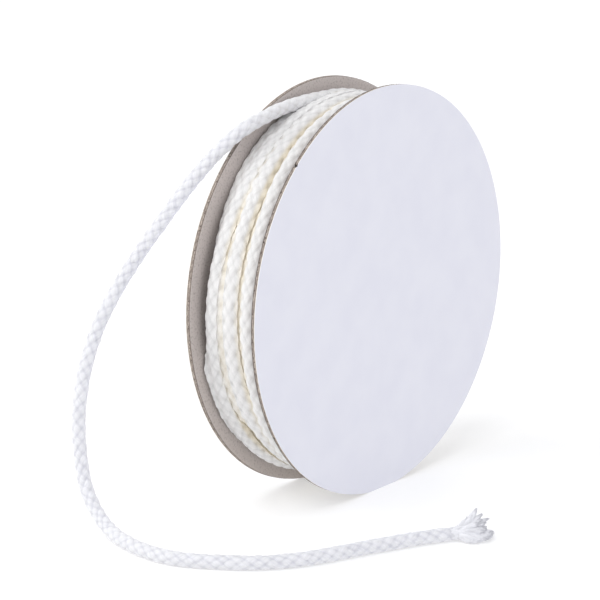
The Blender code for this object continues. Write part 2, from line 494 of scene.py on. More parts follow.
@dataclass(frozen=True)
class GreyBoard:
    """Grey board, pressed from waste paper pulp. Its face is dull, with faint flecks of fibre."""

    name: str = "grey_board_face"
    face_hex: str = "#C3BAB5"
    cloud_hex: str = "#C8BFBA"
    fleck_hex: str = "#9A908B"
    painted_shade_hex: str = "#453B38"
    cloud_size: float = 6.0 * MM
    fleck_size: float = 0.7 * MM
    relief: float = 0.05 * MM
    clear_radius: float = 62.5 * MM
    painted_shade_radius: float = 56.0 * MM
    clear_height: float = 120.0 * MM
    painted_shade_height: float = 95.0 * MM

    def material(self) -> bpy.types.Material:
        """Makes the board's material.

        Returns:
            A material that works in the object's own metres.
        """
        made, tree = start_material(self.name, {"Roughness": 0.92, "IOR": 1.47})
        place = add_node(tree, "ShaderNodeTexCoord").outputs["Object"]
        # Pulp clouds are a few millimetres across, from the wet felt
        sizes = {"Vector": place, "Scale": 1 / self.cloud_size, "Detail": 3.0}
        clouds = add_node(tree, "ShaderNodeTexNoise", sizes).outputs["Fac"]
        # Flecks of ink and bark; the real ones are 0.2 mm, drawn coarser to show
        sizes = {"Vector": place, "Scale": 1 / self.fleck_size, "Detail": 4.0, "Roughness": 0.65}
        flecks = add_node(tree, "ShaderNodeTexNoise", sizes).outputs["Fac"]
        tone = lay_tint(
            tree, linear(self.face_hex), clouds, (0.3, 0.7, 0.0, 0.45), self.cloud_hex
        )
        tone = lay_tint(tree, tone, flecks, (0.52, 0.66, 0.0, 0.75), self.fleck_hex)
        # Painted shade: beside the cord, deep between the discs, the board is tinted dark. It is
        # tinted less near the top, where light falls in from above.
        centred = {"Vector": place, "Location": (0.0, 0.0, -AXIS_HEIGHT), "Scale": (0.0, 1.0, 1.0)}
        from_axis = add_node(tree, "ShaderNodeMapping", centred).outputs["Vector"]
        radius = add_node(tree, "ShaderNodeVectorMath", {0: from_axis}, operation="LENGTH")
        height = add_node(tree, "ShaderNodeSeparateXYZ", {0: place}).outputs["Z"]
        radius = radius.outputs["Value"]
        ends = {0: radius, 1: self.clear_radius, 2: self.painted_shade_radius, 3: 0.0, 4: 0.5}
        shade_near_cord = add_node(tree, "ShaderNodeMapRange", ends, interpolation_type="SMOOTHSTEP")
        ends = {0: height, 1: self.clear_height, 2: self.painted_shade_height, 3: 0.1, 4: 1.0}
        low = add_node(tree, "ShaderNodeMapRange", ends)
        both = {0: shade_near_cord.outputs["Result"], 1: low.outputs["Result"]}
        painted_shade = add_node(tree, "ShaderNodeMath", both, operation="MULTIPLY").outputs["Value"]
        tone = lay_tint(tree, tone, painted_shade, (0.0, 1.0, 0.0, 1.0), self.painted_shade_hex)
        dress_surface(tree, tone, (flecks, 0.5, self.relief))
        return made


@dataclass(frozen=True)
class DieCutEdge:
    """The board's die-cut rim: torn layers of pulp, crushed where the die went in first, and
    darkened there with painted shade.

    Its map is in millimetres: x around the rim, y through the board. The attribute ply runs
    from 0 at the bare face to 1 at the paper, and is below 0 in the rim's nick, which takes a
    near-black painted shade.
    """

    name: str
    pulp_hex: str
    pale_hex: str
    fleck_hex: str
    crushed_and_shade_hex: str
    paper_hex: str
    painted_nick_shade_hex: str = "#241F1C"
    fibre_length: float = 2.2
    fibre_width: float = 0.35
    speck_size: float = 0.7

    def material(self) -> bpy.types.Material:
        """Makes the cut edge's material.

        Returns:
            A material that reads the rim's own map and its ply.
        """
        made, tree = start_material(self.name, {"Roughness": 0.95, "IOR": 1.47})
        place = add_node(tree, "ShaderNodeUVMap", uv_map="rim").outputs["UV"]
        ply = add_node(tree, "ShaderNodeAttribute", attribute_name="ply").outputs["Fac"]
        # Torn fibre bundles are about 2.2 mm long around the rim and 0.35 mm through it
        scale = (1 / self.fibre_length, 1 / self.fibre_width, 1.0)
        torn = add_node(tree, "ShaderNodeMapping", {"Vector": place, "Scale": scale})
        sizes = {"Vector": torn.outputs["Vector"], "Scale": 1.0, "Detail": 3.0, "Roughness": 0.6}
        fibres = add_node(tree, "ShaderNodeTexNoise", sizes).outputs["Fac"]
        # Ink and bark specks of the waste paper, drawn 0.7 mm to show
        sizes = {"Vector": place, "Scale": 1 / self.speck_size, "Detail": 2.0}
        specks = add_node(tree, "ShaderNodeTexNoise", sizes).outputs["Fac"]
        tone: Any = linear(self.pulp_hex)
        for pattern, low, high, tint in (
            (fibres, 0.45, 0.62, self.pale_hex),
            (specks, 0.58, 0.66, self.fleck_hex),
            # Towards the bare face the crushed tone is also painted shade beside the cord
            (ply, 0.28, 0.05, self.crushed_and_shade_hex),
            (ply, 0.82, 0.87, self.paper_hex),
            # The nick is tinted near black as painted shade
            (ply, 0.0, -0.4, self.painted_nick_shade_hex),
        ):
            tone = lay_tint(tree, tone, pattern, (low, high, 0.0, 1.0), tint)
        dress_surface(tree, tone, (fibres, 0.6, 0.12 * MM))
        return made


@dataclass(frozen=True)
class BleachedLiner:
    """Bleached paper, calendered and glued on the board. It is smooth, with a faint cool sheen."""

    name: str = "bleached_liner"
    paper_hex: str = "#E5E5ED"
    shade_hex: str = "#E2E2EB"
    cloud_size: float = 12.0 * MM
    grain_size: float = 0.3 * MM

    def material(self) -> bpy.types.Material:
        """Makes the paper's material.

        Returns:
            A material that works in the object's own metres.
        """
        made, tree = start_material(self.name, {"IOR": 1.5})
        place = add_node(tree, "ShaderNodeTexCoord").outputs["Object"]
        # Paper is cloudy over some 12 mm, and its fibre grain is 0.3 mm
        clouds, grain = (
            add_node(
                tree, "ShaderNodeTexNoise", {"Vector": place, "Scale": 1 / size, "Detail": 2.0}
            ).outputs["Fac"]
            for size in (self.cloud_size, self.grain_size)
        )
        tone = lay_tint(
            tree, linear(self.paper_hex), clouds, (0.35, 0.65, 0.0, 1.0), self.shade_hex
        )
        dress_surface(tree, tone, (grain, 0.15, 0.04 * MM), (grain, 0.3, 0.7, 0.48, 0.6))
        return made


@dataclass(frozen=True)
class PaleFloor:
    """A plain pale studio floor, matt, lit a little from below as a light table is."""

    name: str = "pale_floor"
    colour_hex: str = "#CFCFCF"
    glow: float = 0.42

    def material(self) -> bpy.types.Material:
        """Makes the floor's plain material."""
        constants = {
            "Base Color": linear(self.colour_hex),
            "Roughness": 1.0,
            "Specular IOR Level": 0.0,
            "Emission Color": linear("#FFFFFF"),
            "Emission Strength": self.glow,
        }
        return start_material(self.name, constants)[0]


# The plait


@dataclass(frozen=True)
class Lay:
    """How the yarns lie: the cord's radius, the length of one full turn, the lobes' relief."""

    radius: float
    lead: float
    crown: float
    swell: float


@dataclass(frozen=True)
class Plait:
    """A round plait of eight soft yarns, four wound each way, each over one and under one.

    Each yarn shows as a row of plump lobes, and the two ways' lobes meet in chevrons. Where
    it is wound, the cord is pulled longer and smoother and pressed a little flat, and it
    slackens as it leaves the roll.
    """

    slack: Lay = Lay(2.27 * MM, 16.0 * MM, 0.56 * MM, 0.29 * MM)
    pulled: Lay = Lay(2.32 * MM, 20.0 * MM, 0.50 * MM, 0.25 * MM)
    slackens_from: float = -8.0 * MM
    slackens_to: float = 48.0 * MM
    yarns_each_way: int = 4
    crown_reach: float = 0.60
    unevenness: float = 0.06 * MM
    strands: int = 3
    strand_relief: float = 0.05 * MM
    flattening: float = 0.12
    yarn_width: float = 2.6
    yarn_apart: float = 7.3
    ways_apart: float = 41.0
    lobe_kinds: int = 997
    seed: int = 11

    def slackness(self, along: np.ndarray) -> np.ndarray:
        """How slack the cord is: 0 pulled, on the roll, to 1 in the loose end."""
        reach = self.slackens_to - self.slackens_from
        return smooth_step(np.clip((along - self.slackens_from) / reach, 0, 1))

    def mixed(self, along: np.ndarray, size: str) -> np.ndarray:
        """One of the lay's sizes at places along the cord."""
        pulled, slack = getattr(self.pulled, size), getattr(self.slack, size)
        return pulled + (slack - pulled) * self.slackness(along)

    def leads(self, along: np.ndarray) -> np.ndarray:
        """How many full turns the yarns have made, from where the cord starts to slacken.

        Args:
            along: Distances along the cord, below zero on the roll.

        Returns:
            Turns, below zero further back on the roll.
        """
        steps = np.linspace(self.slackens_from, self.slackens_to, 200)
        rate = 1 / self.mixed(steps, "lead")
        parts = (rate[1:] + rate[:-1]) / 2 * np.diff(steps)
        turns = np.append(0.0, np.cumsum(parts))
        pulled = (along - steps[0]) / self.pulled.lead
        slack = turns[-1] + (along - steps[-1]) / self.slack.lead
        between = np.interp(along, steps, turns)
        return np.where(along < steps[0], pulled, np.where(along > steps[-1], slack, between))

    def yarn_places(self, along: np.ndarray, around: np.ndarray) -> tuple[np.ndarray, np.ndarray]:
        """Where points lie across the yarns of each way, a yarn's middle at each whole number."""
        turned = self.yarns_each_way * around / tau
        wound = self.yarns_each_way * self.leads(along)
        return turned - wound, turned + wound

    def heights(self, along: np.ndarray, around: np.ndarray) -> tuple[np.ndarray, np.ndarray]:
        """The surface's distance from the centreline, for the yarns of each way."""
        here, there = self.yarn_places(along, around)
        radius, full, rise = (self.mixed(along, size) for size in ("radius", "crown", "swell"))
        plumpness = np.random.default_rng(self.seed).normal(0, 1, self.lobe_kinds)
        found = []
        for own, other, sense in ((here, there, 1.0), (there, here, -1.0)):
            yarn = np.round(own)
            crown = np.sqrt(np.maximum(1 - ((own - yarn) / self.crown_reach) ** 2, 0))
            weave = sense * np.cos(pi * other) * np.where(yarn % 2 == 0, 1.0, -1.0)
            # Whole steps without a common factor, so that lobes side by side are not alike
            lobe = (yarn * 31 + np.round(other) * 17).astype(int) % self.lobe_kinds
            plump = self.unevenness * np.clip(plumpness[lobe], -2, 1)
            grooves = np.cos(tau * self.strands * (own - yarn)) - 1
            plump = plump + self.strand_relief / 2 * grooves * crown
            found.append(radius - full * (1 - crown) - rise * (1 - weave) + plump)
        return found[0], found[1]

    def surface(self, along: np.ndarray, around: np.ndarray) -> np.ndarray:
        """The plait's radius at places along and around it."""
        first, second = self.heights(along, around)
        return np.maximum(first, second)

    def groove(self, along: np.ndarray, radius: np.ndarray) -> np.ndarray:
        """How deep rings of points lie between the pulled cord's lobes, from 0 to 1."""
        full, crown = (self.mixed(along, size)[:, None] for size in ("radius", "crown"))
        return np.clip((full - radius) / crown, 0, 1) * (1 - self.slackness(along))[:, None]

    def yarn_map(
        self, along: np.ndarray, around: np.ndarray, mid_along: np.ndarray, mid_around: np.ndarray
    ) -> np.ndarray:
        """Where each face corner lies on the yarn that its face belongs to, in millimetres.

        Args:
            along: Each corner's distance along the cord.
            around: Each corner's angle.
            mid_along: Its face's middle, along.
            mid_around: Its face's middle, as an angle.

        Returns:
            For each corner, across and along the yarn.
        """
        first, second = self.heights(mid_along, mid_around)
        mid_here, mid_there = self.yarn_places(mid_along, mid_around)
        here, there = self.yarn_places(along, around)
        on_first = first >= second
        yarn = np.where(on_first, np.round(mid_here), np.round(mid_there))
        across = np.where(on_first, here, there) - yarn
        slant = sqrt(1 + (tau * self.slack.radius / self.slack.lead) ** 2)
        apart = yarn * self.yarn_apart + np.where(on_first, 0.0, self.ways_apart)
        length = along / MM * slant + apart
        return np.stack([across * self.yarn_width, length], axis=-1)


@dataclass
class PlaitedRun:
    """A stretch of plaited cord along a centreline.

    The line runs towards the loose tip. ups are directions square to it, for the plait to be
    laid round, and starts_at is the plait's place at its first point. hollow gives how deep
    points lie, and waist how much of its thickness the cord keeps. press moves the rings'
    points to where the cord's neighbours leave it room. Folds of sharp_from degrees stay sharp.
    """

    name: str
    line: np.ndarray
    ups: np.ndarray
    starts_at: float
    plait: Plait
    sides: int
    hollow: Callable[[np.ndarray, np.ndarray], np.ndarray]
    waist: Callable[[np.ndarray], np.ndarray] | None = None
    press: Callable[[np.ndarray], np.ndarray] | None = None
    sharp_from: float = 75.0

    def mesh(self) -> bpy.types.Mesh:
        """Builds the closed, plaited tube with its yarn map and its hollows.

        Returns:
            The mesh, smooth along its yarns.
        """
        count = len(self.line)
        along = self.starts_at + distance_along(self.line)
        around = tau * np.arange(self.sides) / self.sides
        grid_along, grid_around = np.meshgrid(along, around, indexing="ij")
        radius = self.plait.surface(grid_along, grid_around)
        if self.waist is not None:
            radius = radius * self.waist(along)[:, None]
        ahead = unit(np.gradient(self.line, axis=0))
        ups = unit(self.ups - ahead * (self.ups * ahead).sum(1, keepdims=True))
        sideways = np.cross(ahead, ups)
        flat = self.plait.flattening * (1 - self.plait.slackness(along))[:, None, None]
        spokes = (
            ups[:, None, :] * np.cos(around)[None, :, None] * (1 - flat)
            + sideways[:, None, :] * np.sin(around)[None, :, None] * (1 + flat)
        )
        verts = self.line[:, None, :] + spokes * radius[:, :, None]
        if self.press is not None:
            verts = self.press(verts)
        ring = np.arange(self.sides)
        after = (ring + 1) % self.sides
        first = (np.arange(count - 1) * self.sides)[:, None]
        quads = np.stack(
            [first + ring, first + after, first + self.sides + after, first + self.sides + ring],
            axis=-1,
        ).reshape(-1, 4)
        last = (count - 1) * self.sides
        faces = quads.tolist() + [ring[::-1].tolist(), (last + ring).tolist()]
        made = bpy.data.meshes.new(self.name)
        made.from_pydata(verts.reshape(-1, 3).tolist(), [], faces)
        self.lay_yarn_map(made, along, around)
        set_values(made, "hollow", self.hollow(verts, radius))
        set_values(made, "slack", np.repeat(self.plait.slackness(along), self.sides))
        set_values(made, "groove", self.plait.groove(along, radius))
        made.shade_smooth()
        made.set_sharp_from_angle(angle=radians(self.sharp_from))
        made.validate()
        return made

    def lay_yarn_map(self, made: bpy.types.Mesh, along: np.ndarray, around: np.ndarray) -> None:
        """Gives each face corner its place on its yarn.

        Args:
            made: The tube's mesh, its quads first and its two caps last.
            along: The rings' places along the cord.
            around: The sides' angles.
        """
        step = tau / self.sides
        rows = np.arange(len(along) - 1)[:, None]
        corner_along = np.stack([along[rows], along[rows], along[rows + 1], along[rows + 1]], -1)
        corner_along = np.broadcast_to(corner_along, (len(along) - 1, self.sides, 4))
        corner_around = np.stack([around, around + step, around + step, around], -1)
        corner_around = np.broadcast_to(corner_around[None], corner_along.shape)
        mid_along = corner_along.mean(-1, keepdims=True)
        mid_around = corner_around.mean(-1, keepdims=True)
        laid = self.plait.yarn_map(corner_along, corner_around, mid_along, mid_around)
        flat = np.zeros((len(made.loops), 2), np.float32)
        flat[: laid.size // 2] = laid.reshape(-1, 2)
        layer = made.uv_layers.new(name="yarn")
        layer.uv.foreach_set("vector", flat.reshape(-1))


# The loose end


@dataclass
class LooseEnd:
    """The free cord, from the top of the roll to the floor."""

    plait: Plait
    finish: bpy.types.Material
    route: Sequence[tuple[float, float, float]]
    step: float = 0.35 * MM
    sides: int = 48
    waist_length: float = 6.0 * MM
    waist_share: float = 0.88

    def centreline(self) -> np.ndarray:
        """The smooth route's points, evenly spaced."""
        through = np.array(self.route) * MM
        along = distance_along(through)
        curve = smooth_curve(along, through)
        return curve(np.linspace(0, along[-1], int(along[-1] / self.step) + 1))

    def ups(self, line: np.ndarray) -> np.ndarray:
        """Directions square to the line that start upwards and turn as little as they can."""
        ahead = unit(np.gradient(line, axis=0))
        turned = [np.array([0.0, 0.0, 1.0])]
        for direction in ahead[1:]:
            turned.append(unit(turned[-1] - direction * (turned[-1] @ direction)))
        return np.array(turned)

    def build(self) -> tuple[bpy.types.Object, np.ndarray]:
        """Builds and dresses the loose cord.

        Returns:
            The piece and its centreline.
        """
        line = self.centreline()
        length = distance_along(line)[-1]

        def waist(along: np.ndarray) -> np.ndarray:
            """The cord draws in just before its yarns come apart."""
            near = np.clip((along - length + self.waist_length) / self.waist_length, 0, 1)
            return 1 - (1 - self.waist_share) * smooth_step(near)

        def hollow(_: np.ndarray, radius: np.ndarray) -> np.ndarray:
            """How deep each point lies between the slack yarns, from 0 on a lobe to 1."""
            depth = (self.plait.slack.radius - radius) / self.plait.slack.crown
            return np.clip(depth, 0, 1) * self.plait.slackness(distance_along(line))[:, None]

        run = PlaitedRun(
            "loose_cord", line, self.ups(line), 0.0, self.plait, self.sides, hollow, waist
        )
        piece = add_piece("loose_cord", run.mesh(), [self.finish], [Node.LOOSE])
        return piece, line


@dataclass(frozen=True)
class Lock:
    """One lock of yarn: where it ends, ahead, sideways and up, and its thickness, all in mm.

    leaves is how much of its way out it has gone where it bends.
    """

    ahead: float
    side: float
    rise: float
    thick: float
    leaves: float = 0.12


@dataclass
class FrayedTip:
    """The cord's own yarns come apart into soft locks of fine crimped filaments.

    A lock's body is where its filaments still lie close. Others lie along it and stick out
    past its end, and a few hairs stand off it.
    """

    finish: bpy.types.Material
    tip: np.ndarray
    ahead: np.ndarray
    root_reach: float = 1.05 * MM
    root_back: float = 3.0 * MM
    stations: int = 18
    lock_sides: int = 32
    bends_at: float = 0.42
    gathers: float = 0.35
    twist: float = 1.2
    filaments: int = 34
    filament_points: int = 8
    filament_radius: float = 0.10 * MM
    hairs: int = 5
    hair_points: int = 5
    hair_radius: float = 0.045 * MM
    floor_clearance: float = 0.1 * MM
    seed: int = 5

    LOCKS = (
        Lock(2.8, 0.2, 4.1, 0.95, 0.3),
        Lock(4.3, 0.5, 4.9, 1.1, 0.2),
        Lock(5.8, 0.3, 6.7, 1.0, 0.2),
        Lock(7.1, 0.8, 5.1, 1.0, 0.2),
        Lock(4.8, -0.9, 4.0, 1.2, 0.2),
        Lock(9.3, 0.4, 3.5, 1.0, 0.2),
        Lock(8.3, 0.6, 2.5, 1.3, 0.2),
        Lock(8.6, 0.9, 1.0, 1.4),
        Lock(10.8, 1.0, -0.6, 1.35),
        Lock(10.2, 1.9, -0.2, 1.35),
        Lock(9.6, 3.0, -0.8, 1.35, 0.35),
        Lock(7.9, 4.4, -1.0, 1.3, 0.5),
        Lock(5.9, 5.0, -1.0, 1.3, 0.6),
        Lock(3.4, 5.0, -1.0, 1.2, 0.7),
        Lock(4.7, 5.2, -1.0, 1.25, 0.65),
        Lock(7.0, 4.9, -1.0, 1.3, 0.55),
        Lock(8.9, 3.8, -1.0, 1.35, 0.4),
        Lock(8.4, -2.4, 0.5, 1.2),
        Lock(9.2, -1.3, -0.9, 1.2),
        Lock(6.8, 3.2, 0.9, 1.35, 0.3),
        Lock(8.0, 2.2, 1.0, 1.4, 0.2),
        Lock(5.6, 1.8, 3.0, 1.3, 0.2),
        Lock(6.9, 1.2, 3.6, 1.25, 0.2),
    )

    def __post_init__(self) -> None:
        """Sets the directions sideways and up from the cord's end, and an empty mesh."""
        self.side = unit(np.cross(self.ahead, [0.0, 0.0, 1.0]))
        self.rise = np.cross(self.side, self.ahead)
        self.verts: list[np.ndarray] = []
        self.hollows: list[np.ndarray] = []
        self.faces: list[list[int]] = []
        self.maps: list[tuple[float, float]] = []

    def path(self, lock: Lock, share: np.ndarray) -> np.ndarray:
        """Points along a lock, straight inside the cord and then bending out to its end.

        Args:
            lock: The lock.
            share: Places along it: -1 at its root in the cord, 0 at the cord's end, 1 at its own.

        Returns:
            The points.
        """
        end = np.array([lock.ahead, lock.side, lock.rise]) * MM
        lean = end[1:] / max(np.linalg.norm(end[1:]), 2.0 * MM)
        root = np.append(0.0, lean * self.root_reach)
        bend = root + np.append(self.bends_at * np.linalg.norm(end), lock.leaves * end[1:])
        out = np.clip(share, 0, 1)[:, None]
        places = (1 - out) ** 2 * root + 2 * (1 - out) * out * bend + out**2 * end
        inside = np.clip(share, -1, 0)[:, None]
        places[:, :1] += inside * self.root_back
        places[:, 1:] *= 1 + self.gathers * inside
        return self.tip + places @ np.stack([self.ahead, self.side, self.rise])

    def spokes(self, line: np.ndarray, turned: np.ndarray) -> np.ndarray:
        """Directions square to a line, at the same angles all along it.

        Args:
            line: Its points.
            turned: Angles, one for all points or a row for each.

        Returns:
            A direction for each point and angle.
        """
        along = unit(np.gradient(line, axis=0))
        sideways = unit(self.side - along * (along @ self.side)[:, None])
        ups = np.cross(sideways, along)
        turned = np.broadcast_to(turned, (len(line), np.shape(turned)[-1]))
        upwards = ups[:, None] * np.cos(turned)[..., None]
        return upwards + sideways[:, None] * np.sin(turned)[..., None]

    def add_tube(
        self, line: np.ndarray, radius: np.ndarray, hollow: np.ndarray, shift: float
    ) -> None:
        """Adds one closed tube to the mesh, resting on the floor where it reaches it.

        Args:
            line: Its centreline.
            radius: Its radius, a row for each point and a column for each side.
            hollow: How much painted shade it takes at each point, from 0 to 1.
            shift: How far its yarn map is moved across, to differ from its neighbours'.
        """
        count, sides = radius.shape
        spokes = self.spokes(line, tau * np.arange(sides) / sides)
        points = line[:, None] + spokes * radius[:, :, None]
        points[:, :, 2] = np.maximum(points[:, :, 2], self.floor_clearance)
        first = sum(len(rows) for rows in self.verts)
        self.verts.append(points.reshape(-1, 3))
        self.hollows.append(np.repeat(hollow, sides))
        along = distance_along(line) / MM
        around = tau * float(radius.mean()) / MM / sides
        for i in range(count - 1):
            for j in range(sides):
                a, b = first + sides * i + j, first + sides * i + (j + 1) % sides
                self.faces.append([a, b, b + sides, a + sides])
                left, right = shift + around * j, shift + around * (j + 1)
                self.maps += [(left, along[i]), (right, along[i])]
                self.maps += [(right, along[i + 1]), (left, along[i + 1])]
        ring = list(range(sides))
        end = first + sides * (count - 1)
        self.faces += [[first + j for j in reversed(ring)], [end + j for j in ring]]
        self.maps += [(shift, 0.0)] * (2 * sides)

    def add_lock(self, random: np.random.Generator, lock: Lock) -> None:
        """Adds one lock: its body, the filaments along it and its hairs.

        Args:
            random: The source of chance.
            lock: The lock.
        """
        thick = lock.thick * MM
        share = np.append(np.linspace(-1, 0, 4)[:-1], np.linspace(0, 1, self.stations - 3))
        # The body is fullest halfway and narrows to its end, where only filaments go on
        swell = [0.75, 0.9, 1.0, 0.85, 0.62, 0.3]
        body = np.interp(share, [-1, 0, 0.5, 0.8, 0.93, 1], swell)
        turned = tau * np.arange(self.lock_sides) / self.lock_sides
        turned = turned + share[:, None] * self.twist
        # Three sets of low ribs run round it, where its filaments gather
        phase = random.uniform(0, tau, 3)
        ribs = 1 + 0.08 * np.cos(3 * turned + phase[0]) + 0.06 * np.cos(6 * turned + phase[1])
        ribs = ribs + 0.04 * np.cos(10 * turned + phase[2])
        line = self.path(lock, share)
        # Painted shade: it darkens over its last ninth, in the shade between the filaments' ends
        painted_shade = np.clip(share * 9 - 8, 0, 1)
        self.add_tube(line, thick * body[:, None] * ribs, painted_shade, random.uniform(0, 40))
        for _ in range(int(self.filaments * lock.thick)):
            turn = np.array([random.uniform(0, tau)])
            places = np.linspace(random.uniform(-0.3, 0.5), 1, self.filament_points)
            line = self.path(lock, places)
            spread = random.uniform(0.05, 0.5)
            off = np.interp(places, [-1, 0, 0.5, 0.8, 1], [0.7, 0.88, 1.0, 0.85, spread])
            turned = turn + self.twist * places[:, None]
            line = line + self.spokes(line, turned)[:, 0] * (thick * off)[:, None]
            onwards = unit(line[-1] - line[-2]) * random.uniform(0.05, 0.9) * MM
            line = np.vstack([line, line[-1] + onwards + random.normal(0, 0.12, 3) * MM])
            line[:, 2] = np.maximum(line[:, 2], self.floor_clearance + self.filament_radius)
            taper = np.append(np.linspace(0.6, 1, self.filament_points), 0.7)
            taper = self.filament_radius * taper
            # Painted shade darkens each filament towards its end
            painted_shade = np.append(np.clip(places * 6 - 5, 0, 0.5), 0.8)
            self.add_tube(line, np.repeat(taper[:, None], 4, axis=1), painted_shade, random.uniform(0, 40))
        for _ in range(self.hairs):
            count = self.hair_points
            places = np.linspace(0, 0.25, count) + random.uniform(0.1, 0.7)
            line = self.path(lock, places)
            stands = thick * (0.8 + np.linspace(0, random.uniform(0.5, 1.3), count) ** 1.5)
            turn = np.array([random.uniform(0, tau)])
            line = line + self.spokes(line, turn)[:, 0] * stands[:, None]
            line[:, 2] = np.maximum(line[:, 2], self.floor_clearance + self.hair_radius)
            radius = np.full((count, 3), self.hair_radius)
            self.add_tube(line, radius, np.zeros(count), random.uniform(0, 40))

    def build(self) -> bpy.types.Object:
        """Builds and dresses the frayed tip.

        Returns:
            The piece.
        """
        random = np.random.default_rng(self.seed)
        for lock in self.LOCKS:
            self.add_lock(random, lock)
        mesh = bpy.data.meshes.new("frayed_tip")
        verts = np.concatenate(self.verts)
        mesh.from_pydata(verts.tolist(), [], self.faces)
        layer = mesh.uv_layers.new(name="yarn")
        layer.uv.foreach_set("vector", np.array(self.maps, np.float32).reshape(-1))
        set_values(mesh, "hollow", np.concatenate(self.hollows))
        set_values(mesh, "slack", np.ones(len(verts)))
        mesh.shade_smooth()
        mesh.validate()
        return add_piece("frayed_tip", mesh, [self.finish], [Node.FRAYED])


# The wound cord


def on_roll(back: np.ndarray, across: np.ndarray, out: np.ndarray) -> np.ndarray:
    """Points on the winding.

    Args:
        back: Degrees wound back from the top.
        across: Places between the discs.
        out: Distances from the axis.

    Returns:
        Points in the row frame.
    """
    angle = np.radians(90 + back)
    return np.stack([across, -out * np.cos(angle), AXIS_HEIGHT + out * np.sin(angle)], axis=-1)


class Layer(Enum):
    """The turns on top, and those that show in the gaps between them."""

    OUTER = "outer"
    UNDER = "under"


